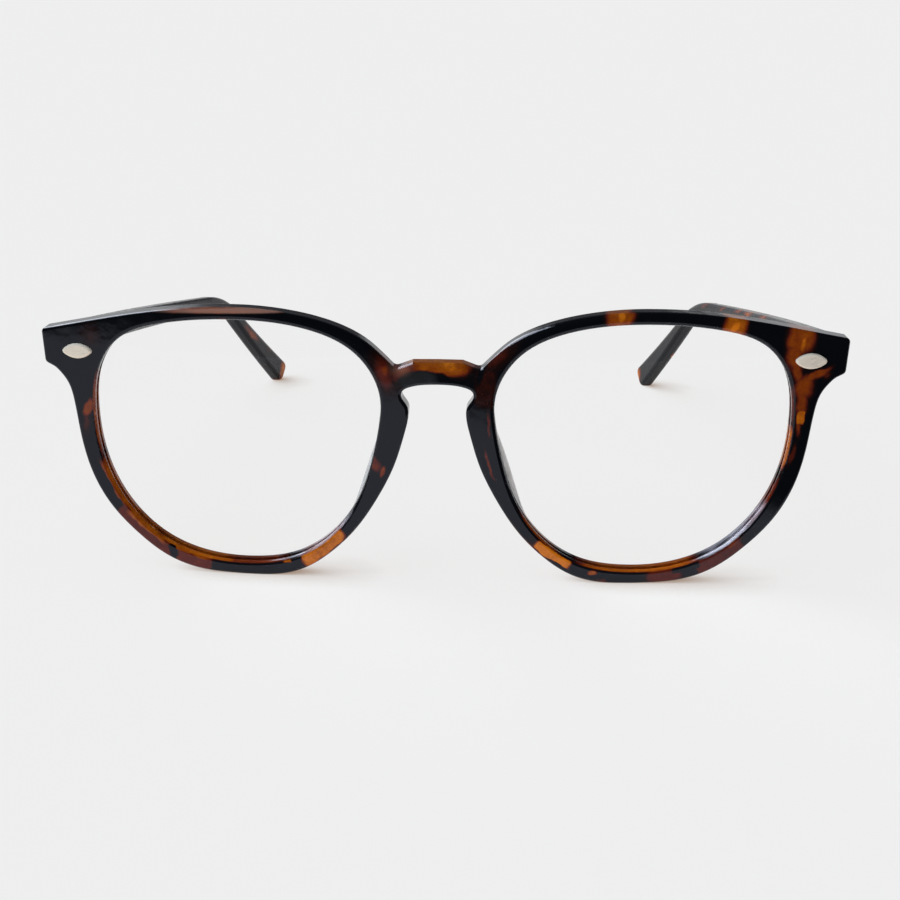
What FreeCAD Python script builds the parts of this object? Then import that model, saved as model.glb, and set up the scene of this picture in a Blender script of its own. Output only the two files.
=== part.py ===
import FreeCAD, Part
import Sketcher
import math
import os

# Spectacles with a keyhole bridge and rounded-hexagon lenses, standing on a table with the temples open.
# Frame: X to the wearer's left, Y from the front towards the ears, Z up, z = 0 the table.
# Shapes are drawn with y = 0 at the middle of the front face, and every sub-part's Placement then
# moves it forward by half the depth of the whole object, so that the origin is under its middle.
# Pairs are drawn on the wearer's left (+X) and mirrored to the right.

V = FreeCAD.Vector

SIZES = {
    # whole object
    "half_depth": 68.37,
    "under_table": 3.0,
    # front: a slab bent about a vertical axis behind it, with the outline cut out of it
    "wrap_radius": 905.0,
    "front_depth": 3.8,
    "front_height": 49.4,
    "brow_round": 1.25,
    "front_edge_round": 0.55,
    "back_edge_round": 0.4,
    "opening_edge_round": 0.7,
    # lenses: spherical shells whose edges sit in a groove of the rims
    "lens_radius": 130.0,
    "lens_thickness": 1.5,
    "lens_tuck": 0.6,
    "lens_centre_x": 35.6,
    "lens_centre_z": 24.5,
    "lens_bulge": 1.0,
    "lens_prism_reach": 12.0,
    # oval plaques on the endpieces, each with two pins
    "plaque_x": 63.4,
    "plaque_z": 41.1,
    "plaque_length": 5.3,
    "plaque_width": 2.7,
    "plaque_proud": 0.6,
    "plaque_seat": 0.3,
    "plaque_tip_round": 0.55,
    "plaque_edge_round": 0.4,
    "plaque_pin_radius": 0.45,
    "plaque_pin_spacing": 2.2,
    "plaque_pin_length": 3.95,
    # hinges: five barrels on a screw, three on the front's leaf and two on the temple's
    "hinge_x": 64.6,
    "hinge_y": 7.75,
    "hinge_z": 41.1,
    "barrel_radius": 1.25,
    "barrel_height": 0.9,
    "barrel_gap": 0.15,
    "washer_radius": 1.15,
    "washer_thickness": 0.1,
    "screw_radius": 0.6,
    "screw_clearance": 0.05,
    "screw_head_radius": 1.05,
    "screw_head_height": 0.5,
    "screw_slot_width": 0.3,
    "screw_slot_depth": 0.25,
    "bore_reach": 6.0,
    "front_leaf_length": 4.6,
    "front_leaf_height": 4.8,
    "front_leaf_thickness": 1.05,
    "front_leaf_y": 5.3,
    "front_leaf_past_axis": 0.6,
    "front_arm_overlap": 0.5,
    "temple_leaf_length": 7.5,
    "temple_leaf_height": 3.5,
    "temple_leaf_thickness": 0.9,
    "temple_leaf_start": 1.2,
    "temple_leaf_proud": 0.1,
    "temple_arm_overlap": 0.6,
    "hinge_relief": 0.2,
    # temples
    "butt_gap": 0.15,
    "temple_round": 1.0,
    "temple_start_y": 2.0,
    "temple_butt_y": 6.3,
    "temple_butt_outer_x": 69.3,
    "temple_butt_inner_x": 65.5,
    "temple_bend_outer_x": 61.5,
    "temple_bend_inner_x": 58.1,
    "temple_tip_outer_x": 51.1,
    "temple_tip_inner_x": 47.9,
    "temple_bend_y": 93.6,
    "temple_tip_y": 134.6,
    "temple_plan_past_tip": 8.0,
    "rivet_radius": 0.5,
    "rivet_length": 2.4,
    "rivet_head_radius": 0.8,
    "rivet_head_height": 0.2,
    "rivet_from_leaf_end": 2.1,
    "rivet_below_hinge": 0.35,
    "rivet_spacing": 3.4,
    "core_height": 1.3,
    "core_thickness": 1.0,
    "core_start_y": 4.0,
    # nose pads
    "pad_splay": 20.0,
    # the block that cuts everything off at the table
    "table_cut_depth": 10.0,
    "table_cut_reach": 150.0,
}

# Points are (x, z) in millimetres on the wearer's left half, seen from the front.
BRIDGE_TOP = [(0.0, 40.2), (4.3, 40.15), (6.3, 39.4)]
BROW_INNER = [(6.3, 39.4), (7.3, 39.2), (8.3, 39.95), (9.8, 41.45), (12.0, 43.4), (16.0, 45.75),
              (24.0, 48.2), (36.0, 49.35)]
BROW_OUTER = [(36.0, 49.35), (46.0, 48.9), (58.0, 47.15), (68.3, 45.15)]
LOWER_RIM = [(68.2, 38.15), (67.1, 37.2), (65.7, 35.2), (64.85, 32.0), (64.1, 25.9), (62.3, 18.2),
             (59.25, 12.3), (54.75, 7.2), (48.7, 2.6), (43.0, 0.6), (37.0, 0.0), (32.5, -0.12),
             (28.0, 0.2), (24.0, 1.4), (19.5, 4.3), (14.5, 9.3), (10.6, 15.2), (7.4, 21.8),
             (5.75, 27.2), (5.0, 31.0), (5.1, 32.1), (5.75, 33.2), (6.25, 34.2), (6.05, 35.1),
             (5.0, 35.75), (3.0, 36.2), (0.0, 36.35)]
LENS_OPENING = [(9.95, 31.0), (11.05, 37.2), (14.75, 42.0), (22.55, 45.7), (36.0, 47.2), (48.05, 46.25),
                (56.15, 43.25), (59.9, 37.95), (61.0, 30.8), (59.75, 20.7), (55.75, 12.35), (48.85, 5.9),
                (40.95, 2.95), (33.0, 2.4), (26.1, 3.55), (18.75, 8.2), (14.25, 14.5), (11.4, 22.8)]

# Corners of the endpiece's outline (x, z, rounding radius), between BROW_OUTER and LOWER_RIM.
ENDPIECE = [(68.3, 45.15, 0.0), (69.85, 44.85, 0.75), (69.55, 38.85, 0.9), (68.2, 38.15, 0.0)]

# Temple seen from the side, as corners (y, z, rounding radius), starting inside the endpiece.
TEMPLE_SIDE = [(4.0, 45.0, 0.0), (103.1, 29.7, 36.0), (137.9, 3.46, 1.8), (134.4, -0.9, 1.8),
               (103.8, 26.0, 22.0), (30.0, 36.1, 80.0), (4.0, 38.7, 0.0)]
CORE_SIDE = [(19.0, 39.7), (102.5, 27.9), (125.0, 10.0)]
CORE_BEND_RADIUS = 28.0

# Half sides of the squares drawn around the outlines, and half the length of the slab before it is cut.
AROUND_FRONT = 75.0
AROUND_TEMPLE = 160.0
SLAB_REACH = 72.0
TOLERANCE = 0.01

# Level sections of a nose pad: (z, x of middle, y of middle, half length, half thickness).
PAD_SECTIONS = [(9.0, 16.5, 4.4, 1.1, 0.7), (12.0, 14.2, 5.0, 1.9, 1.1), (16.5, 12.2, 5.4, 2.8, 1.4),
                (22.0, 10.3, 5.5, 3.0, 1.5), (27.0, 8.9, 5.2, 2.2, 1.3), (30.5, 8.5, 4.4, 1.2, 0.8)]

doc = FreeCAD.newDocument("Spectacles")
sheet = doc.addObject("Spreadsheet::Sheet", "Sizes")
for row, (alias, value) in enumerate(SIZES.items(), start=1):
    sheet.set(f"A{row}", alias)
    sheet.set(f"B{row}", str(value))
    sheet.setAlias(f"B{row}", alias)
doc.recompute()

parts = {}


def size(alias):
    """The value of a driving dimension, in millimetres or degrees."""
    return float(sheet.get(alias))


def bind(thing, **expressions):
    """Tie properties to cells; a word such as base_x stands for Placement.Base.x."""
    for name, text in expressions.items():
        path = name
        if name.startswith("base_"):
            path = ".Placement.Base." + name[-1]
        for alias in sorted(SIZES, key=len, reverse=True):
            text = text.replace("<" + alias + ">", "Sizes." + alias)
        thing.setExpression(path, text)
    return thing


def primitive(kind, name, **expressions):
    return bind(doc.addObject("Part::" + kind, name), **expressions)


def fuse(name, shapes):
    joined = doc.addObject("Part::MultiFuse", name)
    joined.Shapes = shapes
    joined.Refine = True
    return joined


def cut(name, base, tools):
    """base without every shape in tools."""
    tool = tools[0]
    if len(tools) > 1:
        tool = doc.addObject("Part::Compound", name + "_tools")
        tool.Links = tools
    result = doc.addObject("Part::Cut", name)
    result.Base = base
    result.Tool = tool
    return result


def common(name, first, second):
    result = doc.addObject("Part::Common", name)
    result.Base = first
    result.Tool = second
    return result


def compound(name, shapes):
    group = doc.addObject("Part::Compound", name)
    group.Links = shapes
    return group


def mirror(name, source):
    other = doc.addObject("Part::Mirroring", name)
    other.Source = source
    other.Normal = V(1, 0, 0)
    return other


def sub_part(node, shape):
    """Register a finished sub-part under its node name and bring it into the object's frame."""
    shape.Label = node
    bind(shape, base_y="-<half_depth>")
    parts[node] = shape


def pair(node, left):
    """The wearer's left piece and its mirror image, as two sub-parts."""
    right = mirror(node + "_mirrored", left)
    holder = doc.addObject("Part::Compound", node + "_holder")
    holder.Links = [left]
    sub_part(node + "_left", holder)
    sub_part(node + "_right", right)


def spline(points, first_tangent, last_tangent):
    curve = Part.BSplineCurve()
    curve.interpolate(points, InitialTangent=first_tangent, FinalTangent=last_tangent, Scale=False)
    return curve


def closed_spline(points):
    curve = Part.BSplineCurve()
    curve.interpolate(points, PeriodicFlag=True)
    return curve


def flat(points, side=1):
    return [V(side * x, z, 0) for x, z in points]


def direction(start, end, side=1):
    """Unit vector along an outline, from one of its points to another."""
    along = V(side * (end[0] - start[0]), end[1] - start[1], 0)
    return along.normalize()


def offset_loop(points, distance):
    """The points of a closed outline, each moved outwards by distance."""
    moved = []
    for index, (x, z) in enumerate(points):
        before = points[index - 1]
        after = points[(index + 1) % len(points)]
        along = math.hypot(after[0] - before[0], after[1] - before[1])
        normal_x = -(after[1] - before[1]) / along
        normal_z = (after[0] - before[0]) / along
        moved.append((x + distance * normal_x, z + distance * normal_z))
    return moved


def plane_of(body, role):
    return next(f for f in body.Origin.OriginFeatures if f.Role == role)


def sketch_on(body, name, role, lowered_by=0.0):
    sketch = body.newObject("Sketcher::SketchObject", name)
    sketch.AttachmentSupport = (plane_of(body, role), [""])
    sketch.MapMode = "FlatFace"
    sketch.AttachmentOffset = FreeCAD.Placement(V(0, 0, -lowered_by), FreeCAD.Rotation())
    return sketch


def lines(points):
    return [Part.LineSegment(a, b) for a, b in zip(points, points[1:])]


def rectangle(x0, y0, x1, y1):
    return lines([V(x0, y0, 0), V(x1, y0, 0), V(x1, y1, 0), V(x0, y1, 0), V(x0, y0, 0)])


def rounded_outline(corners):
    """Straight sides joined by tangent arcs, from corners (a, b, radius)."""
    ends = []
    for index, (a, b, radius) in enumerate(corners):
        here = V(a, b, 0)
        to_last = V(*corners[index - 1][:2], 0) - here
        to_next = V(*corners[(index + 1) % len(corners)][:2], 0) - here
        to_last.normalize()
        to_next.normalize()
        half_angle = to_last.getAngle(to_next) / 2
        reach = radius / math.tan(half_angle)
        bisector = to_last + to_next
        bisector.normalize()
        middle = here + bisector * (radius / math.sin(half_angle) - radius)
        ends.append((here + to_last * reach, middle, here + to_next * reach, radius))
    pieces = []
    for index, (start, middle, end, radius) in enumerate(ends):
        if radius > 0:
            pieces.append(Part.Arc(start, middle, end))
        pieces.append(Part.LineSegment(end, ends[(index + 1) % len(ends)][0]))
    return pieces


def add_all(sketch, geometry):
    for piece in geometry:
        if isinstance(piece, Part.Arc):
            piece = piece.toShape().Curve.trim(*piece.toShape().ParameterRange)
        sketch.addGeometry(piece, False)


def pocket(body, sketch, name):
    """Cut the sketch right through the body, both ways."""
    feature = body.newObject("PartDesign::Pocket", name)
    feature.Profile = sketch
    feature.Type = "ThroughAll"
    feature.Midplane = True
    doc.recompute()
    return feature


def bent_outline(reach):
    """Plan of the front slab: two arcs about the same centre, closed by two ends."""
    radius = size("wrap_radius")
    depth = size("front_depth")

    def on_arc(arc_radius, x):
        return V(x, radius - math.sqrt(arc_radius ** 2 - x ** 2), 0)

    front = [on_arc(radius, x) for x in (-reach, 0, reach)]
    back = [on_arc(radius - depth, x) for x in (-reach, 0, reach)]
    return [Part.Arc(*front), Part.LineSegment(front[2], back[2]),
            Part.Arc(*reversed(back)), Part.LineSegment(back[0], front[0])]


def front_blank():
    """The front before its seats are cut: a bent slab with the outline and the two openings."""
    body = doc.addObject("PartDesign::Body", "front_blank")
    plan = sketch_on(body, "front_plan", "XY_Plane", lowered_by=size("under_table"))
    add_all(plan, bent_outline(SLAB_REACH))
    slab = body.newObject("PartDesign::Pad", "front_slab")
    slab.Profile = plan
    bind(slab, Length="<front_height> + 2 * <under_table>")
    doc.recompute()

    outline = sketch_on(body, "front_outline", "XZ_Plane")
    add_all(outline, rectangle(-AROUND_FRONT, -AROUND_FRONT, AROUND_FRONT, AROUND_FRONT))
    leaving = [direction(ENDPIECE[-2], ENDPIECE[-1], side) for side in (1, -1)]
    around = flat(LOWER_RIM) + flat(LOWER_RIM[-2::-1], side=-1)
    outline.addGeometry(spline(around, leaving[0], -leaving[1]), False)
    for side in (1, -1):
        facet = direction(BRIDGE_TOP[-2], BRIDGE_TOP[-1], side)
        level = V(side, 0, 0)
        falling = direction(ENDPIECE[0], ENDPIECE[1], side)
        outline.addGeometry(spline(flat(BROW_INNER, side), facet, level), False)
        outline.addGeometry(spline(flat(BROW_OUTER, side), level, falling), False)
        add_all(outline, lines(flat(BRIDGE_TOP, side)))
        add_all(outline, rounded_outline([(side * x, z, radius) for x, z, radius in ENDPIECE])[:-1])
    pocket(body, outline, "front_trim")

    openings = sketch_on(body, "lens_openings", "XZ_Plane")
    for side in (1, -1):
        openings.addGeometry(closed_spline(flat(LENS_OPENING, side)), False)
    body.Tip = pocket(body, openings, "front_openings")
    return body


def edges_on_cylinder(shape, radius):
    """Edges, with their numbers, on the upright cylinder about the wrap's axis and above the table."""
    centre_y = size("wrap_radius")
    found = []
    for index, edge in enumerate(shape.Edges, start=1):
        middle = edge.valueAt((edge.FirstParameter + edge.LastParameter) / 2)
        ends = [middle] + [v.Point for v in edge.Vertexes]
        on_it = all(abs(math.hypot(p.x, p.y - centre_y) - radius) < TOLERANCE for p in ends)
        if on_it and middle.z > TOLERANCE:
            found.append((index, edge, middle))
    return found


def front_round_at(point, middle):
    """Rounding radius of the front's outer edge: widest along the brow, narrowing towards the endpiece."""
    narrow = size("front_edge_round")
    endpiece_x = ENDPIECE[0][0]
    if middle.z < BRIDGE_TOP[-1][1] or abs(middle.x) > endpiece_x:
        return narrow
    brow_top_x = BROW_OUTER[0][0]
    share = max(0.0, (abs(point.x) - brow_top_x) / (endpiece_x - brow_top_x))
    return size("brow_round") + share * (narrow - size("brow_round"))


def round_front(body):
    """Round the outer outline with a varying radius in front, and every other edge evenly."""
    radii = []
    shape = body.Shape
    for index, edge, middle in edges_on_cylinder(shape, size("wrap_radius")):
        ends = [edge.valueAt(edge.FirstParameter), edge.valueAt(edge.LastParameter)]
        if edge.isClosed():
            radii.append((index, size("opening_edge_round"), size("opening_edge_round")))
        else:
            radii.append((index, *[front_round_at(end, middle) for end in ends]))
    for index, edge, middle in edges_on_cylinder(shape, size("wrap_radius") - size("front_depth")):
        radii.append((index, size("back_edge_round"), size("back_edge_round")))
    rounded = doc.addObject("Part::Fillet", "front_edges")
    rounded.Base = body
    rounded.Edges = radii
    doc.recompute()
    return rounded


def lens():
    """A spherical shell, cut to the opening's outline plus the tuck into the rim's groove."""
    from_axis = "(<wrap_radius> + <lens_bulge> - <lens_radius>)"
    turn = "asin(<lens_centre_x> / <wrap_radius>)"
    centre = {"base_x": f"{from_axis} * sin({turn})",
              "base_y": f"<wrap_radius> - {from_axis} * cos({turn})", "base_z": "<lens_centre_z>"}
    outer = primitive("Sphere", "lens_outer", Radius="<lens_radius>", **centre)
    inner = primitive("Sphere", "lens_inner", Radius="<lens_radius> - <lens_thickness>", **centre)
    shell = cut("lens_shell", outer, [inner])
    sketch = doc.addObject("Sketcher::SketchObject", "lens_outline")
    sketch.Placement = FreeCAD.Placement(V(0, 0, 0), FreeCAD.Rotation(V(1, 0, 0), 90))
    sketch.addGeometry(closed_spline(flat(offset_loop(LENS_OPENING, size("lens_tuck")))), False)
    prism = doc.addObject("Part::Extrusion", "lens_prism")
    prism.Base = sketch
    prism.DirMode = "Normal"
    prism.Solid = True
    bind(prism, LengthFwd="<lens_prism_reach>", LengthRev="<lens_prism_reach>")
    return common("lens", prism, shell)


def plaque_outline():
    """Two shallow arcs above and below, joined by a small tangent arc at each tip."""
    half = size("plaque_length") / 2
    rise = size("plaque_width") / 2
    tip = size("plaque_tip_round")
    tip_x = half - tip
    radius = (tip_x ** 2 + rise ** 2 - tip ** 2) / (2 * (rise - tip))
    share = radius / (radius - tip)
    join_x = tip_x * share
    join_z = (radius - rise) * (share - 1)
    return [Part.Arc(V(join_x, join_z, 0), V(0, rise, 0), V(-join_x, join_z, 0)),
            Part.Arc(V(-join_x, join_z, 0), V(-half, 0, 0), V(-join_x, -join_z, 0)),
            Part.Arc(V(-join_x, -join_z, 0), V(0, -rise, 0), V(join_x, -join_z, 0)),
            Part.Arc(V(join_x, -join_z, 0), V(half, 0, 0), V(join_x, join_z, 0))]


def plaque():
    """A pointed oval with a rounded face, standing on the endpiece, with two pins behind it."""
    body = doc.addObject("PartDesign::Body", "plaque")
    oval = sketch_on(body, "plaque_oval", "XZ_Plane")
    add_all(oval, plaque_outline())
    plate = body.newObject("PartDesign::Pad", "plaque_plate")
    plate.Profile = oval
    bind(plate, Length="<plaque_proud>")
    doc.recompute()
    rim = [f"Edge{i}" for i, e in enumerate(plate.Shape.Edges, start=1)
           if abs(e.CenterOfMass.y + size("plaque_proud")) < TOLERANCE]
    dome = body.newObject("PartDesign::Fillet", "plaque_dome")
    dome.Base = (plate, rim)
    bind(dome, Radius="<plaque_edge_round>")
    doc.recompute()
    seat = body.newObject("PartDesign::Pad", "plaque_seat")
    seat.Profile = oval
    seat.Reversed = True
    bind(seat, Length="<plaque_seat>")
    pins = sketch_on(body, "plaque_pins", "XZ_Plane")
    for side in (1, -1):
        middle = V(side * size("plaque_pin_spacing") / 2, 0, 0)
        index = pins.addGeometry(Part.Circle(middle, V(0, 0, 1), size("plaque_pin_radius")), False)
        constraint = pins.addConstraint(Sketcher.Constraint("Radius", index, size("plaque_pin_radius")))
        pins.setExpression(f"Constraints[{constraint}]", "Sizes.plaque_pin_radius")
    pin_pad = body.newObject("PartDesign::Pad", "plaque_pin_pad")
    pin_pad.Profile = pins
    pin_pad.Reversed = True
    bind(pin_pad, Length="<plaque_pin_length>")
    doc.recompute()
    body.Tip = pin_pad
    lean = math.degrees(math.asin(size("plaque_x") / size("wrap_radius")))
    y = size("wrap_radius") - math.sqrt(size("wrap_radius") ** 2 - size("plaque_x") ** 2)
    body.Placement = FreeCAD.Placement(V(0, y, 0), FreeCAD.Rotation(V(0, 0, 1), lean))
    bind(body, base_x="<plaque_x>", base_z="<plaque_z>")
    return body


def barrel_z(index):
    """Expression for the bottom of one of the five barrels, counted from the lowest."""
    return f"<hinge_z> - <barrel_height> / 2 + ({index} - 2) * (<barrel_height> + <barrel_gap>)"


def knuckles(name, indices, bore, arm):
    """Barrels on the hinge axis with an arm each, bored for the screw. arm gives a box's sizes."""
    solids = []
    for index in indices:
        solids.append(primitive("Cylinder", f"{name}_barrel_{index}", Radius="<barrel_radius>",
                                Height="<barrel_height>", base_x="<hinge_x>", base_y="<hinge_y>",
                                base_z=barrel_z(index)))
        solids.append(primitive("Box", f"{name}_arm_{index}", Height="<barrel_height>",
                                base_z=barrel_z(index), **arm))
    hole = primitive("Cylinder", f"{name}_bore", Radius=bore, Height="2 * <bore_reach>",
                     base_x="<hinge_x>", base_y="<hinge_y>", base_z="<hinge_z> - <bore_reach>")
    return solids, hole


def front_hinge(plaque_body):
    """Leaf let into the endpiece's back, held by the plaque's pins, with three barrels."""
    leaf = primitive("Box", "front_leaf", Length="<front_leaf_length>",
                     Width="<front_leaf_thickness>", Height="<front_leaf_height>",
                     base_x="<hinge_x> + <front_leaf_past_axis> - <front_leaf_length>",
                     base_y="<front_leaf_y>",
                     base_z="<hinge_z> - <front_leaf_height> / 2")
    arm = {"Length": "<barrel_radius> + <front_arm_overlap>",
           "Width": "<hinge_y> - <front_leaf_y> - <front_arm_overlap>",
           "base_x": "<hinge_x> - <barrel_radius>", "base_y": "<front_leaf_y> + <front_arm_overlap>"}
    solids, hole = knuckles("front_hinge", (0, 2, 4), "<screw_radius>", arm)
    return cut("front_hinge", fuse("front_hinge_solid", [leaf] + solids), [hole, plaque_body])


def temple_hinge():
    """Leaf let into the temple's inner face, with two barrels, and holes for two rivets."""
    reach = "<temple_butt_inner_x> + <temple_leaf_thickness> - <temple_leaf_proud>"
    leaf = primitive("Box", "temple_leaf", Length="<temple_leaf_thickness>",
                     Width="<temple_leaf_length>", Height="<temple_leaf_height>",
                     base_x="<temple_butt_inner_x> - <temple_leaf_proud>",
                     base_y="<hinge_y> + <temple_leaf_start>",
                     base_z="<hinge_z> + <barrel_height> * 1.5 + <barrel_gap> - <temple_leaf_height>")
    arm = {"Length": reach + " - <hinge_x>", "Width": "<temple_leaf_start> + <temple_arm_overlap>",
           "base_x": "<hinge_x>", "base_y": "<hinge_y>"}
    solids, hole = knuckles("temple_hinge", (1, 3), "<screw_radius> + <screw_clearance>", arm)
    return fuse("temple_hinge_solid", [leaf] + solids), hole


def temple_rivets():
    """Two headed rivets through the temple's hinge leaf, blind in the temple."""
    rivets = []
    for index in (0, 1):
        y = f"<hinge_y> + <temple_leaf_start> + <rivet_from_leaf_end> + {index} * <rivet_spacing>"
        z = "<hinge_z> - <rivet_below_hinge>"
        shank = primitive("Cylinder", f"rivet_shank_{index}", Radius="<rivet_radius>",
                          Height="<rivet_length>", base_y=y, base_z=z,
                          base_x="<temple_butt_inner_x> - <temple_leaf_proud>")
        head = primitive("Cylinder", f"rivet_head_{index}", Radius="<rivet_head_radius>",
                         Height="<rivet_head_height>", base_y=y, base_z=z,
                         base_x="<temple_butt_inner_x> - <temple_leaf_proud> - <rivet_head_height>")
        for solid in (shank, head):
            solid.Placement.Rotation = FreeCAD.Rotation(V(0, 1, 0), 90)
        rivets.append(fuse(f"rivet_{index}", [shank, head]))
    return compound("temple_rivets", rivets)


def hinge_screw():
    """Slotted screw down the barrels, its head on the top one."""
    head = primitive("Cylinder", "screw_head", Radius="<screw_head_radius>",
                     Height="<screw_head_height>", base_x="<hinge_x>", base_y="<hinge_y>",
                     base_z=barrel_z(5) + " - <barrel_gap>")
    shank = primitive("Cylinder", "screw_shank", Radius="<screw_radius>",
                      Height="5 * <barrel_height> + 4 * <barrel_gap>", base_x="<hinge_x>",
                      base_y="<hinge_y>", base_z=barrel_z(0))
    slot = primitive("Box", "screw_slot", Length="4 * <screw_head_radius>", Width="<screw_slot_width>",
                     Height="2 * <screw_slot_depth>", base_x="<hinge_x> - 2 * <screw_head_radius>",
                     base_y="<hinge_y> - <screw_slot_width> / 2",
                     base_z=barrel_z(5) + " - <barrel_gap> + <screw_head_height> - <screw_slot_depth>")
    return cut("hinge_screw", fuse("screw_solid", [head, shank]), [slot])


def hinge_washers():
    """Four thin rings, each lying on the face of one of the front's barrels."""
    rings = []
    for index, step in ((0, 1), (2, -1), (2, 1), (4, -1)):
        name = f"washer_{index}_{'above' if step > 0 else 'below'}"
        z = barrel_z(index)
        z += " + <barrel_height>" if step > 0 else " - <washer_thickness>"
        place = {"Height": "<washer_thickness>", "base_x": "<hinge_x>", "base_y": "<hinge_y>", "base_z": z}
        disc = primitive("Cylinder", name + "_disc", Radius="<washer_radius>", **place)
        hole = primitive("Cylinder", name + "_hole", Radius="<screw_radius>", **place)
        rings.append(cut(name, disc, [hole]))
    return compound("hinge_washers", rings)


def arc_through(points):
    return Part.Arc(*[V(x, y, 0) for x, y in points])


def temple_plan(start_y, inset=0.0):
    """Plan of a temple: an inner and an outer arc, each a little inside the surface by inset."""
    stations = (start_y, size("temple_bend_y"), size("temple_tip_y") + size("temple_plan_past_tip"))
    sides = []
    for side, sign in (("outer", -1), ("inner", 1)):
        known = [V(size(f"temple_{place}_{side}_x"), size(f"temple_{place}_y"), 0)
                 for place in ("butt", "bend", "tip")]
        circle = Part.Arc(*known).toShape().Curve
        radius = circle.Radius + sign * inset
        sides.append([(circle.Center.x + math.sqrt(radius ** 2 - (y - circle.Center.y) ** 2), y)
                      for y in stations])
    outer, inner = sides
    inner.reverse()
    return [arc_through(outer), Part.LineSegment(V(*outer[2], 0), V(*inner[0], 0)),
            arc_through(inner), Part.LineSegment(V(*inner[2], 0), V(*outer[0], 0))]


def temple_blank():
    """A bent bar, cut to the side outline of the temple and rounded along its edges."""
    body = doc.addObject("PartDesign::Body", "temple_blank")
    plan = sketch_on(body, "temple_plan", "XY_Plane", lowered_by=size("under_table"))
    add_all(plan, temple_plan(size("temple_start_y")))
    bar = body.newObject("PartDesign::Pad", "temple_bar")
    bar.Profile = plan
    bind(bar, Length="<front_height> + <under_table>")
    doc.recompute()
    side = sketch_on(body, "temple_side", "YZ_Plane")
    add_all(side, rectangle(-AROUND_TEMPLE, -AROUND_TEMPLE, AROUND_TEMPLE, AROUND_TEMPLE))
    add_all(side, rounded_outline(TEMPLE_SIDE))
    trimmed = pocket(body, side, "temple_trim")
    body.Tip = trimmed
    return body


def round_temple(body):
    """Round the temple's long edges, leaving those inside the endpiece and under the table."""
    base = body.Tip
    shortest_along, shortest_up = 1.0, 1.5
    inside_endpiece_y, at_table_z = 5.0, 0.2
    names = []
    for index, edge in enumerate(base.Shape.Edges, start=1):
        box = edge.BoundBox
        long_enough = box.YMax - box.YMin > shortest_along or box.ZMax - box.ZMin > shortest_up
        if long_enough and box.YMax > inside_endpiece_y and box.ZMax > at_table_z:
            names.append(f"Edge{index}")
    fillet = body.newObject("PartDesign::Fillet", "temple_edges")
    fillet.Base = (base, names)
    bind(fillet, Radius="<temple_round>")
    doc.recompute()
    body.Tip = fillet


def temple_core():
    """Flat steel strip that stiffens the temple, from behind the hinge to near the tip."""
    body = doc.addObject("PartDesign::Body", "temple_core")
    thickness = size("temple_bend_outer_x") - size("temple_bend_inner_x")
    plan = sketch_on(body, "core_plan", "XY_Plane")
    add_all(plan, temple_plan(size("core_start_y"), inset=(thickness - size("core_thickness")) / 2))
    bar = body.newObject("PartDesign::Pad", "core_bar")
    bar.Profile = plan
    bind(bar, Length="<front_height>")
    doc.recompute()
    half = size("core_height") / 2
    route = [(y, z - half) for y, z in CORE_SIDE] + [(y, z + half) for y, z in reversed(CORE_SIDE)]
    bends = [0.0, CORE_BEND_RADIUS, 0.0] * 2
    corners = [(y, z, radius) for (y, z), radius in zip(route, bends)]
    side = sketch_on(body, "core_side", "YZ_Plane")
    add_all(side, rectangle(-AROUND_TEMPLE, -AROUND_TEMPLE, AROUND_TEMPLE, AROUND_TEMPLE))
    add_all(side, rounded_outline(corners))
    body.Tip = pocket(body, side, "core_trim")
    return body


def nose_pad(inside_wrap):
    """Pad bonded behind the nasal rim, lofted through level ellipses and cut to the front's back."""
    sections = []
    for index, (z, x, y, half_length, half_thickness) in enumerate(PAD_SECTIONS):
        ring = doc.addObject("Part::Ellipse", f"pad_ring_{index}")
        ring.MajorRadius = half_length
        ring.MinorRadius = half_thickness
        turn = FreeCAD.Rotation(V(0, 0, 1), 90 - size("pad_splay"))
        ring.Placement = FreeCAD.Placement(V(x, y, z), turn)
        sections.append(ring)
    loft = doc.addObject("Part::Loft", "pad_loft")
    loft.Sections = sections
    loft.Solid = True
    return common("nose_pad", loft, inside_wrap)


def wrap_cylinder(name, gap):
    """Everything behind the front's back face, by a gap."""
    return primitive("Cylinder", name, Radius=f"<wrap_radius> - <front_depth> - {gap}",
                     Height="<front_height> + 2 * <table_cut_depth>", base_y="<wrap_radius>",
                     base_z="-<table_cut_depth>")


blank = round_front(front_blank())
lens_left = lens()
plaque_left = plaque()
front_hinge_left = front_hinge(plaque_left)
seat_tools = [lens_left, plaque_left, front_hinge_left]
seat_tools += [mirror(tool.Name + "_seat", tool) for tool in list(seat_tools)]
below_table = primitive("Box", "below_table", Length="2 * <table_cut_reach>",
                        Width="2 * <table_cut_reach>", Height="<table_cut_depth>",
                        base_x="-<table_cut_reach>", base_y="-<table_cut_reach>",
                        base_z="-<table_cut_depth>")
front = cut("front", blank, seat_tools + [below_table])
sub_part("front_frame", front)
pair("lens", lens_left)
pair("front_plaque", plaque_left)
pair("front_hinge", front_hinge_left)

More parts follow.
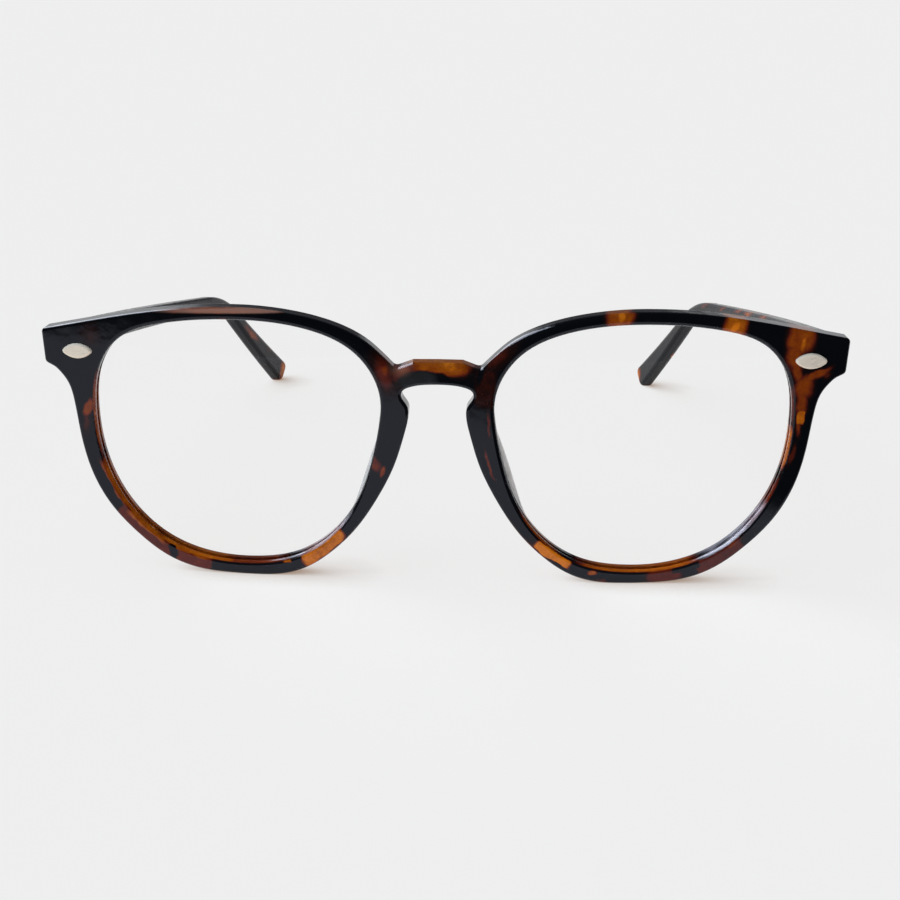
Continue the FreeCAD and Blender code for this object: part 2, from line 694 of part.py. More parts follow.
bar = temple_blank()
round_temple(bar)
core_left = temple_core()
rivets_left = temple_rivets()
hinge_solid, hinge_bore = temple_hinge()
temple_hinge_left = cut("temple_hinge", hinge_solid, [hinge_bore, rivets_left])
relief = primitive("Cylinder", "hinge_relief", Radius="<barrel_radius> + <hinge_relief>",
                   Height="2 * <bore_reach>", base_x="<hinge_x>", base_y="<hinge_y>",
                   base_z="<hinge_z> - <bore_reach>")
butted = common("temple_butted", bar, wrap_cylinder("butt_cylinder", "<butt_gap>"))
temple_left = cut("temple_solid", butted,
                  [core_left, rivets_left, temple_hinge_left, relief, below_table])
pair("temple", temple_left)
pair("temple_core", core_left)
pair("temple_hinge", temple_hinge_left)
pair("temple_rivets", rivets_left)
pair("hinge_screw", hinge_screw())
pair("hinge_washers", hinge_washers())
pair("nose_pad", nose_pad(wrap_cylinder("pad_cylinder", "0")))
doc.recompute()

for thing in doc.Objects:
    if "Invalid" in thing.State or "Error" in thing.State:
        raise RuntimeError(f"{thing.Name} did not compute: {thing.State}")
os.makedirs("parts", exist_ok=True)
for node, thing in parts.items():
    shape = thing.Shape
    if shape.isNull() or not shape.isValid() or not shape.Solids:
        raise RuntimeError(f"{node} has no valid solid")
    shape.exportStep(f"parts/{node}.step")
    box = shape.BoundBox
    print(f"{node:22s} solids {len(shape.Solids)} volume {shape.Volume:9.2f}"
          f"  x {box.XMin:7.2f} {box.XMax:7.2f}  y {box.YMin:7.2f} {box.YMax:7.2f}"
          f"  z {box.ZMin:6.2f} {box.ZMax:6.2f}")
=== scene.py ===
import math

import bpy
from mathutils import Matrix, Vector


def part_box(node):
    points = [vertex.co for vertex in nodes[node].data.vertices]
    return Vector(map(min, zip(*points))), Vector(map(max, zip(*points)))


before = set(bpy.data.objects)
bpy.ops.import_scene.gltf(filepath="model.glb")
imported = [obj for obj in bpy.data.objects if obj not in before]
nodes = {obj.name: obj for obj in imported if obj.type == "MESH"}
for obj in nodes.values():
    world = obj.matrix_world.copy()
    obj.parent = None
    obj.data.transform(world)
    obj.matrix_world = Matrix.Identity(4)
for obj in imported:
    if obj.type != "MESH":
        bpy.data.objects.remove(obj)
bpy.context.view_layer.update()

# Coordinates and lengths in this script are millimetres in the part's frame, except where a
# comment says metres. MM turns them into Blender's metres.
MM = 0.001
PER_METRE = 1000.0
WRAP_RADIUS = 905.0  # the front's face bends back round an upright cylinder of this radius
front_low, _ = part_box("front_frame")
front_y = front_low.y / MM


# ---------------------------------------------------------------- camera
EYE_X, EYE_AHEAD, EYE_Z = 10.7, 237.5, 102.6  # ahead of the front's face
YAW, PITCH_DOWN, ROLL = 4.14, 18.35, -0.21  # degrees
SENSOR_WIDTH, FOCAL_LENGTH = 36.0, 57.2
SHIFT_X, SHIFT_Y = 0.0557, 0.0056  # shares of the picture's width
CLIP_START, CLIP_END = 0.01, 100.0  # metres


def add_camera():
    eye = Vector((EYE_X, front_y - EYE_AHEAD, EYE_Z)) * MM
    yaw, pitch, roll = math.radians(YAW), math.radians(PITCH_DOWN), math.radians(ROLL)
    level = Vector((math.cos(yaw), math.sin(yaw), 0.0))
    ahead = Vector((
        -math.sin(yaw) * math.cos(pitch),
        math.cos(yaw) * math.cos(pitch),
        -math.sin(pitch),
    ))
    above = level.cross(ahead)
    right = math.cos(roll) * level + math.sin(roll) * above
    up = -math.sin(roll) * level + math.cos(roll) * above
    data = bpy.data.cameras.new("camera")
    data.sensor_width = SENSOR_WIDTH
    data.lens = FOCAL_LENGTH
    data.shift_x = SHIFT_X
    data.shift_y = SHIFT_Y
    data.clip_start = CLIP_START
    data.clip_end = CLIP_END
    camera = bpy.data.objects.new("camera", data)
    camera.matrix_world = Matrix((
        (right.x, up.x, -ahead.x, eye.x),
        (right.y, up.y, -ahead.y, eye.y),
        (right.z, up.z, -ahead.z, eye.z),
        (0.0, 0.0, 0.0, 1.0),
    ))
    bpy.context.scene.collection.objects.link(camera)
    bpy.context.scene.camera = camera


# ---------------------------------------------------------------- node helpers
class Tree:
    """A node tree with short calls for the nodes used here."""

    def __init__(self, tree):
        self.tree = tree

    def node(self, kind, settings=None, **inputs):
        """Add a node. An input goes by its socket's name, or by its place: _0 is the first."""
        n = self.tree.nodes.new(kind)
        for key, value in (settings or {}).items():
            setattr(n, key, value)
        for key, value in inputs.items():
            socket = int(key[1:]) if key[0] == "_" else key.replace("_", " ")
            self.feed(n.inputs[socket], value)
        return n

    def feed(self, socket, value):
        """Link a node or another socket to this socket, or set a plain value on it."""
        if isinstance(value, bpy.types.Node):
            value = value.outputs[0]
        if isinstance(value, bpy.types.NodeSocket):
            self.tree.links.new(value, socket)
        else:
            socket.default_value = value

    def math(self, operation, a, b=0.0, c=0.0):
        return self.node("ShaderNodeMath", {"operation": operation}, _0=a, _1=b, _2=c)

    def vector(self, operation, a, b=(0.0, 0.0, 0.0)):
        return self.node("ShaderNodeVectorMath", {"operation": operation}, _0=a, _1=b)

    def inverse(self, share):
        return self.math("SUBTRACT", 1.0, share)

    def split(self, vector):
        return self.node("ShaderNodeSeparateXYZ", None, _0=vector).outputs

    def flat(self, across, up):
        return self.node("ShaderNodeCombineXYZ", None, _0=across, _1=up, _2=0.0)

    def noise(self, where, scale, detail=2.0, rough=0.5, distortion=0.0):
        return self.node("ShaderNodeTexNoise", None, Vector=where, Scale=scale, Detail=detail,
                         Roughness=rough, Distortion=distortion)

    def ramp(self, value, low, high, to_low=0.0, to_high=1.0, smooth=True):
        kind = "SMOOTHSTEP" if smooth else "LINEAR"
        return self.node("ShaderNodeMapRange", {"interpolation_type": kind},
                         _0=value, _1=low, _2=high, _3=to_low, _4=to_high)

    def bump(self, strength, distance, height):
        """A bump whose distance is in metres."""
        return self.node("ShaderNodeBump", None, Strength=strength, Distance=distance,
                         Height=height)

    def colours(self, value, stops):
        n = self.node("ShaderNodeValToRGB", None, _0=value)
        elements = n.color_ramp.elements
        while len(elements) < len(stops):
            elements.new(0.5)
        for element, (position, colour) in zip(elements, stops):
            element.position = position
            element.color = (*colour, 1.0)
        return n

    def mix(self, share, a, b):
        """Mix two colours: the node's sockets 6 and 7 and output 2 are the ones for colour."""
        n = self.node("ShaderNodeMix", {"data_type": "RGBA"})
        self.feed(n.inputs[0], share)
        for socket, value in ((n.inputs[6], a), (n.inputs[7], b)):
            self.feed(socket, (*value, 1.0) if isinstance(value, tuple) else value)
        return n.outputs[2]


def new_material(name):
    material = bpy.data.materials.new(name)
    material.use_nodes = True
    tree = Tree(material.node_tree)
    return material, tree, material.node_tree.nodes["Principled BSDF"]


def set_surface(material, t, shader):
    t.feed(material.node_tree.nodes["Material Output"].inputs["Surface"], shader)


def in_millimetres(t):
    place = t.node("ShaderNodeTexCoord").outputs["Object"]
    return t.node("ShaderNodeVectorMath", {"operation": "SCALE"}, _0=place, Scale=PER_METRE)


# ---------------------------------------------------------------- tortoiseshell
# Heat runs from 0, black, through red and brown to 1, amber.
SHELL_COLOURS = [
    (0.00, (0.0024, 0.0026, 0.0036)),
    (0.20, (0.0140, 0.0034, 0.0022)),
    (0.40, (0.1050, 0.0120, 0.0050)),
    (0.60, (0.2300, 0.0380, 0.0020)),
    (0.80, (0.4000, 0.0900, 0.0030)),
    (1.00, (0.7500, 0.1900, 0.0060)),
]
SHELL_GLARE = (0.77, 0.83, 1.0, 1.0)
FRONT_ROUGHNESS, FRONT_IOR = 0.08, 1.42
TEMPLE_ROUGHNESS, TEMPLE_IOR = 0.2, 1.22


def blotch_group():
    """One blotch: how hot it is at a point, from a rounded, turned and softened outline."""
    group = bpy.data.node_groups.new("blotch", "ShaderNodeTree")
    for kind, name in (
        ("Vector", "Where"), ("Vector", "Middle"), ("Vector", "Turn"), ("Vector", "Half size"),
        ("Float", "Squareness"), ("Float", "Softness"), ("Float", "Heat"),
    ):
        group.interface.new_socket(name, in_out="INPUT", socket_type="NodeSocket" + kind)
    group.interface.new_socket("Heat", in_out="OUTPUT", socket_type="NodeSocketFloat")
    t = Tree(group)
    where, middle, turn, half_size, squareness, softness, heat = list(
        t.node("NodeGroupInput").outputs)[:7]
    local = t.node("ShaderNodeMapping", {"vector_type": "TEXTURE"}, Vector=where,
                   Location=middle, Rotation=turn, Scale=half_size)
    along, across, _ = t.split(t.vector("ABSOLUTE", local))
    total = t.math("ADD", t.math("POWER", along, squareness), t.math("POWER", across, squareness))
    reach = t.math("POWER", total, t.math("DIVIDE", 1.0, squareness))
    edge = t.ramp(reach, t.math("ADD", 1.0, softness), t.inverse(softness))
    result = t.math("MULTIPLY", edge, heat)
    t.feed(t.node("NodeGroupOutput").inputs[0], result)
    return group


BLOTCH = blotch_group()


def blotches(t, where, listed):
    """The heat of the hottest of the listed blotches."""
    hottest = None
    for a, b, length, width, turn, squareness, softness, heat in listed:
        one = t.node("ShaderNodeGroup", {"node_tree": BLOTCH})
        given = (where, (a, b, 0.0), (0.0, 0.0, math.radians(turn)), (length, width, 1.0),
                 squareness, softness, heat)
        for socket, value in zip(one.inputs, given):
            t.feed(socket, value)
        hottest = one if hottest is None else t.math("MAXIMUM", hottest, one)
    return hottest


def drifted(t, flat, point, reach, scale, detail, rough):
    """The flat place, moved about a little, so that the blotches' outlines look poured."""
    noise = t.noise(point, scale, detail, rough).outputs["Color"]
    drift = t.vector("SUBTRACT", noise, (0.5, 0.5, 0.5))
    return t.vector("ADD", flat, t.vector("MULTIPLY", drift, (reach, reach, 0.0)))


def shell_finish(t, shader, point, heat, roughness, ior, pale=()):
    """Colour, gloss and faint surface waves of polished acetate, with given tones of painted
    highlight and painted sheen mixed into the colour.
    """
    cloud = t.noise(point, 0.8, 3.0, 0.6)
    grain = t.noise(point, 7.0, 2.0, 0.6)
    varied = t.math("MULTIPLY", heat, t.ramp(cloud, 0.25, 0.75, 0.84, 1.14, smooth=False))
    varied = t.math("MULTIPLY", varied, t.ramp(grain, 0.3, 0.7, 0.96, 1.04, smooth=False))
    colour = t.colours(varied, SHELL_COLOURS)
    # Painted highlight and painted sheen tones, each mixed into the colour by its share.
    for share, tone in pale:
        colour = t.mix(share, colour, tone)
    t.feed(shader.inputs["Base Color"], colour)
    worn = t.noise(point, 0.5, 4.0, 0.6)
    t.feed(shader.inputs["Roughness"], t.ramp(worn, 0.3, 0.7, 0.8 * roughness, 1.3 * roughness))
    shader.inputs["IOR"].default_value = ior
    shader.inputs["Specular Tint"].default_value = SHELL_GLARE
    waves = t.bump(0.25, 0.00012, t.noise(point, 0.35, 2.0, 0.4))
    scratches = t.bump(0.02, 0.00001, t.noise(point, 5.0, 2.0, 0.5))
    t.feed(scratches.inputs["Normal"], waves)
    t.feed(shader.inputs["Normal"], scratches)


# A blotch is (across, up, half length, half width, turn in degrees, squareness, softness, heat).
# Squareness 2 is an oval and 8 nearly a rectangle. Cycles holds about 76 blotches in a material:
# the front has 73, and with 82 it renders black.
#
# Blotches of the front's face: across is x and up is z.
FACE = [
    (-61.0, 43.8, 1.6, 1.9, 0, 2, 0.8, 0.22),
    (-62.2, 30.6, 0.8, 1.7, -14, 2, 0.45, 0.62),
    (-62.6, 28.2, 0.6, 2.2, -8, 2, 0.9, 0.30),
    (-52.6, 7.9, 6.3, 3.2, -36, 8, 0.06, 0.40),
    (-44.3, 2.4, 3.3, 2.4, -16, 8, 0.08, 0.41),
    (-58.4, 16.3, 5.0, 0.50, -64, 4, 0.3, 0.62),
    (-52.9, 8.4, 5.0, 0.60, -43, 4, 0.3, 0.70),
    (-45.3, 3.9, 4.4, 0.50, -20, 4, 0.3, 0.68),
    (-26.9, 3.0, 1.1, 0.45, 8, 4, 0.2, 0.78),
    (-20.6, 5.9, 4.7, 1.7, 42, 5, 0.12, 0.92),
    (-10.8, 21.8, 0.9, 1.8, 34, 2, 0.6, 0.46),
    (-9.5, 20.4, 0.4, 1.1, -24, 2, 0.4, 0.60),
    (-9.2, 38.3, 1.6, 3.3, 20, 2, 0.9, 0.42),
    (-9.0, 38.8, 0.8, 1.3, 20, 2, 0.8, 0.54),
    # This thin amber band along the brow's top edge, with the pink tone laid over it further
    # down, paints the brow's highlight band: partly the acetate's amber, partly painted
    # highlight.
    (-34.0, 49.1, 12.5, 0.55, 1.5, 2, 0.35, 0.54),
    (-37.4, 47.1, 1.5, 0.4, 0, 2, 0.8, 0.40),
    (-5.6, 38.4, 2.0, 2.4, 0, 2, 0.8, 0.50),
    (0.6, 40.2, 5.2, 2.4, 0, 3, 0.3, 0.70),
    (2.0, 39.8, 2.6, 1.6, -10, 2, 0.8, 0.88),
    (4.5, 39.2, 1.1, 0.9, -30, 2, 0.5, 0.62),
    (8.4, 35.9, 1.9, 3.5, 0, 5, 0.2, 0.22),
    (10.2, 41.4, 3.8, 1.5, 45, 2, 0.8, 0.28),
    (8.9, 29.4, 0.26, 2.4, -3, 2, 0.5, 0.38),
    (9.2, 22.1, 0.26, 3.0, 21, 2, 0.5, 0.46),
    (30.9, 48.8, 2.3, 2.2, 0, 4, 0.35, 0.66),
    (31.0, 48.6, 1.0, 1.4, 0, 2, 0.8, 0.92),
    (50.3, 47.2, 1.9, 1.9, -8, 4, 0.35, 0.78),
    (50.2, 47.0, 1.2, 1.2, -8, 2, 0.8, 1.0),
    (61.5, 45.2, 2.3, 2.6, -8, 4, 0.35, 0.62),
    (61.9, 44.1, 0.6, 1.7, -6, 2, 0.8, 0.86),
    (60.7, 41.9, 1.5, 2.9, 5, 2, 0.7, 0.62),
    (61.1, 39.2, 0.9, 2.2, 16, 2, 0.5, 0.56),
    (64.7, 38.7, 2.5, 0.8, 28, 2, 0.45, 0.58),
    (62.6, 36.5, 1.5, 2.3, -12, 2, 0.55, 0.60),
    (62.3, 33.7, 1.0, 3.0, 2, 2, 0.6, 0.54),
    (66.2, 38.5, 0.9, 0.6, 20, 2, 0.6, 0.32),
    (62.5, 31.0, 0.75, 1.2, 0, 5, 0.22, 0.84),
    (62.3, 29.2, 0.45, 1.5, 6, 2, 0.8, 0.50),
    (61.6, 24.4, 0.40, 2.0, -12, 3, 0.5, 0.34),
    (20.8, 5.4, 3.7, 0.95, -33, 4, 0.12, 1.04),
    (18.2, 6.2, 2.5, 1.6, -45, 2, 0.6, 0.24),
    (28.0, 1.9, 0.9, 0.4, -8, 3, 0.4, 0.70),
    (31.0, 0.3, 2.2, 0.5, 0, 3, 0.5, 0.34),
    (40.6, 1.6, 3.2, 1.5, 6, 3, 0.3, 0.37),
    (50.0, 5.4, 4.8, 2.4, 33, 8, 0.08, 0.37),
    (52.4, 7.6, 1.8, 1.0, 38, 2, 0.8, 0.46),
]
# Where these lie, the face is black again.
FACE_BLACK = [
    (-48.2, 4.0, 0.7, 1.3, 14, 5, 0.2, 1.0),
    (-25.2, 3.1, 0.9, 0.6, 10, 5, 0.2, 1.0),
    (-1.7, 36.7, 4.9, 2.1, -2, 2, 0.14, 1.0),
    (7.5, 38.3, 0.55, 1.9, -18, 3, 0.4, 1.0),
    (64.4, 39.9, 1.9, 0.5, 14, 2, 0.6, 0.9),
    (33.4, 0.9, 3.0, 1.3, 0, 6, 0.12, 1.0),
    (44.3, 3.2, 2.4, 0.8, 14, 5, 0.15, 1.0),
]
# Painted sheen laid over the face: a grey patch on the black under the bridge stands in for a
# reflection.
FACE_PAINTED_SHEEN = [
    (-3.6, 37.3, 3.2, 1.5, 0, 3, 0.3, 1.0),
]
# Painted highlight: a pink band along the brow's rounded top and a patch at the bridge's top,
# laid over amber acetate.
FACE_PAINTED_HIGHLIGHT = [
    (-33.0, 48.95, 13.5, 0.45, 1.5, 2, 0.4, 0.9),
    (-6.4, 39.6, 1.5, 1.3, 0, 2, 0.9, 0.45),
]
# Colour of the painted sheen on the black.
PAINTED_SHEEN_GREY = (0.018, 0.018, 0.019)
# Colour of the painted highlight: pale pink.
PAINTED_HIGHLIGHT_PINK = (0.36, 0.17, 0.12)
# Blotches of the walls behind the face, placed as seen from the front.
INSIDE = [
    (-61.0, 29.0, 2.0, 8.0, -6, 3, 0.5, 0.66),
    (-55.5, 13.0, 2.5, 10.0, 36, 3, 0.35, 0.78),
    (-44.0, 4.8, 8.0, 2.5, -20, 3, 0.4, 0.82),
    (-33.0, 2.4, 7.0, 1.6, 0, 2, 0.6, 0.50),
    (-20.0, 6.0, 6.0, 2.5, 42, 2, 0.5, 0.72),
    (-9.0, 39.5, 2.6, 3.5, 20, 2, 0.6, 0.50),
    (0.5, 40.5, 6.5, 2.0, 0, 3, 0.3, 0.80),
    (17.5, 8.5, 5.5, 2.5, -48, 2, 0.5, 0.66),
    (36.0, 3.2, 11.0, 1.6, 2, 3, 0.4, 0.76),
    (59.8, 25.5, 1.8, 4.2, -14, 3, 0.2, 0.80),
    (56.5, 15.0, 2.5, 6.0, -32, 2, 0.5, 0.45),
    (61.0, 33.0, 1.5, 4.0, 0, 2, 0.5, 0.36),
    (30.8, 49.4, 2.2, 2.0, 0, 3, 0.4, 0.70),
    (50.2, 48.5, 2.1, 2.0, 0, 3, 0.4, 0.70),
    (61.5, 46.0, 2.6, 2.0, -10, 3, 0.4, 0.62),
]
# Painted highlight: pale bands on the walls at the lower right of each lens opening.
INSIDE_PAINTED_HIGHLIGHT = [
    (52.6, 9.6, 6.8, 2.4, 47, 3, 0.25, 0.95),
    (-19.6, 7.0, 6.0, 2.0, 42, 3, 0.5, 0.60),
]
# Colour of the painted wall highlight.
PAINTED_WALL_HIGHLIGHT_TONE = (0.60, 0.55, 0.62)


def shell_front():
    """The front: blotches of the face, others on the walls behind it, and a loose pattern at the
    back, with painted highlight and painted sheen laid over some of them. The face is told apart
    by the depth behind its wrapped surface."""
    material, t, shader = new_material("tortoiseshell_front")
    point = in_millimetres(t)
    x, y, z = t.split(point)
    flat = t.flat(x, z)
    where = drifted(t, flat, point, 1.2, 0.42, 1.5, 0.5)
    sag = t.math("DIVIDE", t.math("MULTIPLY", x, x), 2 * WRAP_RADIUS)
    depth = t.math("SUBTRACT", t.math("SUBTRACT", y, front_y), sag)
    brow = t.ramp(z, 37.5, 39.5, 0.0, 1.0)  # the face reaches over the brow's rounded edge
    behind = t.ramp(t.math("SUBTRACT", depth, brow), 0.06, 0.24)
    hot = blotches(t, where, FACE)
    face = t.math("MULTIPLY", hot, t.inverse(blotches(t, where, FACE_BLACK)))
    inside = blotches(t, where, INSIDE)
    back = t.ramp(depth, 3.3, 3.6)
    wild = t.ramp(t.noise(point, 0.09, 3.0, 0.55, 0.8), 0.54, 0.66, 0.0, 0.85)
    walls = t.math("MULTIPLY", inside, t.inverse(back))
    inside = t.math("ADD", walls, t.math("MULTIPLY", wild, back))
    ahead = t.inverse(behind)
    heat = t.math("ADD", t.math("MULTIPLY", face, ahead), t.math("MULTIPLY", inside, behind))
    # Upright streaks that break up the painted wall highlight below.
    upright = t.noise(t.vector("MULTIPLY", point, (0.2, 3.0, 0.2)), 1.0, 2.0, 0.6)
    lines = t.ramp(upright, 0.40, 0.56, 0.35, 1.0)
    wall = t.math("MULTIPLY", behind, t.inverse(back))
    # Painted highlight on the walls behind the face, not on the back, streaked by the upright
    # lines.
    painted_wall_highlight = t.math("MULTIPLY", blotches(t, where, INSIDE_PAINTED_HIGHLIGHT), wall)
    painted_wall_highlight = t.math("MULTIPLY", painted_wall_highlight, lines)
    # The painted sheen goes on the face only.
    painted_sheen = t.math("MULTIPLY", blotches(t, where, FACE_PAINTED_SHEEN), ahead)
    # The painted highlight goes on the face only.
    painted_highlight = t.math("MULTIPLY", blotches(t, flat, FACE_PAINTED_HIGHLIGHT), ahead)
    # The painted sheen and painted highlights, laid over the colour.
    pale = ((painted_sheen, PAINTED_SHEEN_GREY), (painted_highlight, PAINTED_HIGHLIGHT_PINK), (painted_wall_highlight, PAINTED_WALL_HIGHLIGHT_TONE))
    shell_finish(t, shader, point, heat, FRONT_ROUGHNESS, FRONT_IOR, pale)
    return material


# Blotches of the temples: across is y and up is z. The names are the sides of the picture.
LEFT_VIEW_TEMPLE = [
    (48.6, 16.8, 4.6, 0.9, -36, 2, 0.7, 0.66),
    (67.6, 1.8, 3.0, 3.4, 0, 3, 0.35, 0.88),
    (58.0, 10.5, 2.0, 0.8, -36, 2, 0.7, 0.3),
]
RIGHT_VIEW_TEMPLE = [
    (68.0, 1.2, 2.4, 3.4, 0, 3, 0.4, 0.85),
    (52.5, 16.6, 6.5, 0.8, -36, 2, 0.6, 0.40),
    (-15.0, 36.9, 2.6, 0.6, -9, 2, 0.9, 0.62),
    (-4.0, 35.2, 2.8, 0.7, -9, 2, 0.9, 0.74),
    (3.0, 34.3, 2.2, 0.6, -9, 2, 0.9, 0.60),
    (14.0, 32.4, 1.6, 0.5, -9, 2, 0.9, 0.50),
    (26.0, 30.6, 2.2, 0.7, -9, 2, 0.9, 0.40),
]
# A temple's middle leaves x = TEMPLE_X with the square of the way from y = TEMPLE_Y.
TEMPLE_X, TEMPLE_Y, TEMPLE_CURVE = 67.6, -62.0, 0.00108


def shell_temple(name, side, listed):
    """A temple: the listed blotches, and looser ones outside. side is the sign of its x."""
    material, t, shader = new_material(name)
    point = in_millimetres(t)
    x, y, z = t.split(point)
    where = drifted(t, t.flat(y, z), point, 2.0, 0.35, 3.0, 0.55)
    listed_heat = blotches(t, where, listed)
    along = t.vector("MULTIPLY", point, (1.0, 0.6, 1.0))
    wild = t.ramp(t.noise(along, 0.085, 3.0, 0.55, 0.9), 0.55, 0.66, 0.0, 0.9)
    way = t.math("ADD", y, -TEMPLE_Y)
    curve = t.math("MULTIPLY", t.math("MULTIPLY", way, way), TEMPLE_CURVE)
    middle_x = t.math("SUBTRACT", TEMPLE_X, curve)
    outer = t.ramp(t.math("SUBTRACT", t.math("MULTIPLY", x, side), middle_x), 0.2, 0.8)
    heat = t.math("MAXIMUM", listed_heat, t.math("MULTIPLY", wild, outer))
    shell_finish(t, shader, point, heat, TEMPLE_ROUGHNESS, TEMPLE_IOR)
    return material


# ---------------------------------------------------------------- other materials
def darker(colour, share):
    return tuple(share * c for c in colour)


def metal(name, colour, roughness, wave, brushed=(1.0, 1.0, 1.0), metallic=1.0):
    """Metal with fine streaks, drawn out along the axes where brushed is small."""
    material, t, shader = new_material(name)
    point = in_millimetres(t)
    streaks = t.noise(t.vector("MULTIPLY", point, brushed), 1.6, 3.0, 0.6)
    tone = t.mix(t.ramp(streaks, 0.3, 0.7), darker(colour, 0.9), colour)
    t.feed(shader.inputs["Base Color"], tone)
    shader.inputs["Metallic"].default_value = metallic
    gloss = t.ramp(streaks, 0.25, 0.75, roughness * 0.8, roughness * 1.25)
    t.feed(shader.inputs["Roughness"], gloss)
    t.feed(shader.inputs["Normal"], t.bump(wave, 0.00003, streaks))
    return material


def plastic(name, colour, roughness):
    material, t, shader = new_material(name)
    grain = t.noise(in_millimetres(t), 6.0, 3.0, 0.6)
    t.feed(shader.inputs["Base Color"], t.mix(grain, darker(colour, 0.85), colour))
    gloss = t.ramp(grain, 0.3, 0.7, roughness * 0.9, roughness * 1.1)
    t.feed(shader.inputs["Roughness"], gloss)
    t.feed(shader.inputs["Normal"], t.bump(0.2, 0.00002, grain))
    return material


def lens_material():
    """Thin clear plastic with a coating: it bends light little and casts almost no shadow."""
    material, t, shader = new_material("lens_clear")
    film = t.noise(in_millimetres(t), 0.05, 2.0, 0.5)
    t.feed(shader.inputs["Base Color"], t.mix(film, (0.994, 0.997, 0.996), (0.998, 0.998, 0.995)))
    t.feed(shader.inputs["Roughness"], t.ramp(film, 0.3, 0.7, 0.0, 0.015))
    shader.inputs["Transmission Weight"].default_value = 1.0
    shader.inputs["IOR"].default_value = 1.15
    t.feed(shader.inputs["Normal"], t.bump(0.02, 0.00001, film))
    in_shadow = t.node("ShaderNodeLightPath").outputs["Is Shadow Ray"]
    clear = t.node("ShaderNodeBsdfTransparent", None, Color=(0.99, 0.99, 0.99, 1.0))
    mixed = t.node("ShaderNodeMixShader", None, _0=in_shadow, _1=shader, _2=clear)
    set_surface(material, t, mixed)
    return material


def pad_material():
    """Milky, slightly streaked plastic of the nose pads."""
    material, t, shader = new_material("pad_clear")
    along = t.vector("MULTIPLY", in_millimetres(t), (1.0, 1.0, 0.12))
    streaks = t.noise(along, 1.3, 3.0, 0.6)
    tone = t.mix(t.ramp(streaks, 0.35, 0.65), (0.58, 0.54, 0.53), (0.86, 0.82, 0.81))
    t.feed(shader.inputs["Base Color"], tone)
    t.feed(shader.inputs["Roughness"], t.ramp(streaks, 0.3, 0.7, 0.12, 0.22))
    shader.inputs["IOR"].default_value = 1.45
    shader.inputs["Transmission Weight"].default_value = 0.2
    t.feed(shader.inputs["Normal"], t.bump(0.2, 0.00005, streaks))
    return material


# ---------------------------------------------------------------- stage
FLOOR_BASE = (0.16, 0.16, 0.16, 1.0)
FLOOR_GLOW = (0.770, 0.752, 0.737)
# Colour of the painted shadow where the floor is most hidden.
FLOOR_SHADE = (0.30, 0.19, 0.12)
SHADE_REACH = 11.0
SHADE_LEAN = (-0.92, -0.05, -0.62)  # added to the floor's upward normal
ROOM_DIM = (0.030, 0.031, 0.034)
CARD_HEIGHT = 0.6
CARD_BACK_GAP = 5.0  # from the front's face to the card's back edge
DIM_EDGE = 110.0  # from the front's face to where the card turns dim, at x = 0


def quad(name, x0, x1, y0, y1, z):
    """A level rectangle of the stage. Its edges and height are in metres."""
    mesh = bpy.data.meshes.new(name)
    mesh.from_pydata([(x0, y0, z), (x1, y0, z), (x1, y1, z), (x0, y1, z)], [], [(0, 1, 2, 3)])
    plane = bpy.data.objects.new(name, mesh)
    bpy.context.scene.collection.objects.link(plane)
    return plane


def add_floor():
    """A pale matt floor with its own even glow. Close to the part the glow is browner and dimmer:
    this is a painted shadow, taken from occlusion leant to one side so that it falls to the right
    of the part, and no lamp casts it."""
    floor = quad("floor", -55.0, 35.0, -20.0, 70.0, 0.0)
    material, t, shader = new_material("pale_floor")
    shader.inputs["Base Color"].default_value = FLOOR_BASE
    shader.inputs["Roughness"].default_value = 1.0
    shader.inputs["Specular IOR Level"].default_value = 0.0
    shader.inputs["Emission Strength"].default_value = 1.0
    upward = t.node("ShaderNodeNewGeometry").outputs["Normal"]
    leant = t.vector("ADD", upward, SHADE_LEAN)
    near = t.node("ShaderNodeAmbientOcclusion", {"samples": 8}, Distance=SHADE_REACH * MM,
                  Normal=leant).outputs["AO"]
    # Painted shadow: the glow turns towards the brown shade colour where the leant occlusion is
    # low.
    glow = t.mix(t.ramp(near, 0.30, 0.86, smooth=False), FLOOR_SHADE, FLOOR_GLOW)
    t.feed(shader.inputs["Emission Color"], glow)
    floor.data.materials.append(material)


def add_dim_room():
    """The room in front of the table is dim. Only reflections see this card, which is clear up to
    a slanting, slightly bent line and dim beyond it."""
    card = quad("dim_room", -1.5, 1.5, -3.0, (front_y - CARD_BACK_GAP) * MM, CARD_HEIGHT * MM)
    for kind in ("camera", "diffuse", "transmission", "volume_scatter", "shadow"):
        setattr(card, "visible_" + kind, False)
    material, t, _ = new_material("dim_room")
    x, y, _ = t.split(in_millimetres(t))
    slant = t.math("MULTIPLY", x, t.math("MULTIPLY_ADD", x, 0.0031, 0.87))
    beyond = t.math("ADD", t.math("SUBTRACT", front_y - DIM_EDGE, y), slant)
    share = t.ramp(beyond, -14.0, 14.0)
    dim = t.node("ShaderNodeEmission", None, Color=(*ROOM_DIM, 1.0), Strength=1.0)
    clear = t.node("ShaderNodeBsdfTransparent")
    set_surface(material, t, t.node("ShaderNodeMixShader", None, _0=share, _1=clear, _2=dim))
    card.data.materials.append(material)


# ---------------------------------------------------------------- world
BACKDROP = (0.855, 0.858, 0.858)
KEY_FROM = (-0.66, -0.20, 0.72)
KEY_LIGHT = (1.57, 1.94, 2.24)
KEY_AROUND = (0.02, 0.02, 0.02)
WALL_LEFT = (0.48, 0.53, 0.60)
WALL_RIGHT = (0.10, 0.10, 0.11)
WALL_LOW = (0.70, 0.71, 0.73)
WINDOW = (6.5, 6.8, 7.2)


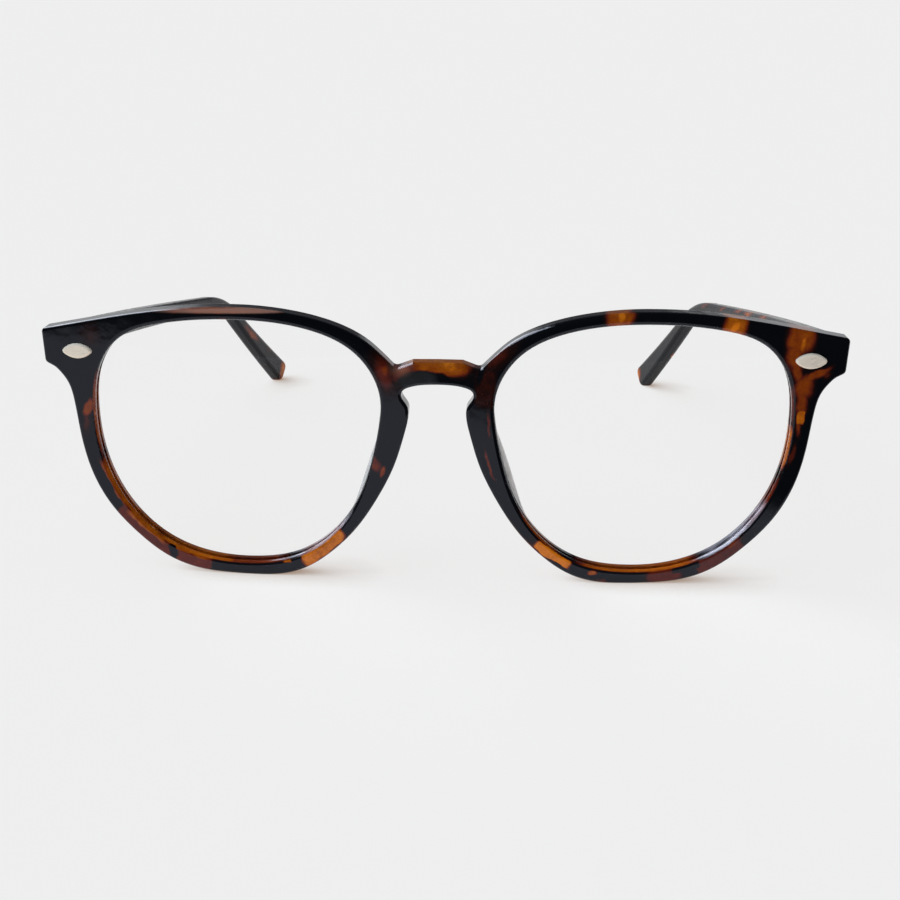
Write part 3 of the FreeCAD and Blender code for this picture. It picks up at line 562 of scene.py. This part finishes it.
def add_world():
    """Three things by what looks at it: the camera sees a plain backdrop, reflections see a room
    that is dim in front and pale at the back with one window at the upper left, and everything
    else gets one broad soft key light from the upper left."""
    world = bpy.data.worlds.new("studio")
    bpy.context.scene.world = world
    world.use_nodes = True
    t = Tree(world.node_tree)
    towards = t.node("ShaderNodeTexCoord").outputs["Generated"]
    rays = t.node("ShaderNodeLightPath").outputs
    to_key = t.vector("DOT_PRODUCT", towards, Vector(KEY_FROM).normalized()).outputs["Value"]
    key = t.mix(t.ramp(to_key, 0.45, 1.0), KEY_AROUND, KEY_LIGHT)
    to_right, to_back, to_top = t.split(towards)
    far = t.mix(t.ramp(to_right, -0.20, -0.36), WALL_RIGHT, WALL_LEFT)
    far = t.mix(t.ramp(to_top, 0.205, 0.155), far, WALL_LOW)
    wall = t.mix(t.ramp(to_back, 0.30, 0.80), ROOM_DIM, far)
    width = t.math("MULTIPLY", t.ramp(to_right, -0.29, -0.37), t.ramp(to_right, -0.72, -0.62))
    height = t.math("MULTIPLY", t.ramp(to_top, 0.24, 0.38), t.ramp(to_back, 0.0, 0.15))
    seen = t.mix(t.math("MULTIPLY", width, height), wall, WINDOW)
    colour = t.mix(rays["Is Glossy Ray"], key, seen)
    colour = t.mix(rays["Is Camera Ray"], colour, BACKDROP)
    shine = world.node_tree.nodes["Background"]
    t.feed(shine.inputs["Color"], colour)
    shine.inputs["Strength"].default_value = 1.0


# ---------------------------------------------------------------- dress the CAD nodes
def dress(material, *names):
    for name in names:
        for slot in nodes[name].material_slots:
            slot.material = material


def dress_pairs(material, *stems):
    for stem in stems:
        dress(material, stem + "_left", stem + "_right")


add_camera()
add_floor()
add_dim_room()
add_world()
# A temple's own left is the wearer's, which is the picture's right.
dress(shell_front(), "front_frame")
dress(shell_temple("tortoiseshell_temple_left", 1.0, RIGHT_VIEW_TEMPLE), "temple_left")
dress(shell_temple("tortoiseshell_temple_right", -1.0, LEFT_VIEW_TEMPLE), "temple_right")
dress_pairs(
    metal("plaque_metal", (1.0, 0.84, 0.69), 0.30, 0.02, brushed=(0.25, 1.0, 0.5), metallic=0.15),
    "front_plaque")
dress_pairs(
    metal("hinge_steel", (0.62, 0.61, 0.60), 0.32, 0.3, brushed=(1.0, 0.15, 1.0)),
    "front_hinge", "temple_hinge")
dress_pairs(
    metal("screw_steel", (0.70, 0.69, 0.67), 0.25, 0.2),
    "hinge_screw", "temple_rivets")
dress_pairs(
    metal("core_steel", (0.55, 0.55, 0.56), 0.35, 0.3, brushed=(1.0, 0.1, 1.0)),
    "temple_core")
dress_pairs(plastic("nylon", (0.80, 0.79, 0.75), 0.45), "hinge_washers")
dress_pairs(lens_material(), "lens")
dress_pairs(pad_material(), "nose_pad")
bpy.context.scene.view_settings.view_transform = "Standard"
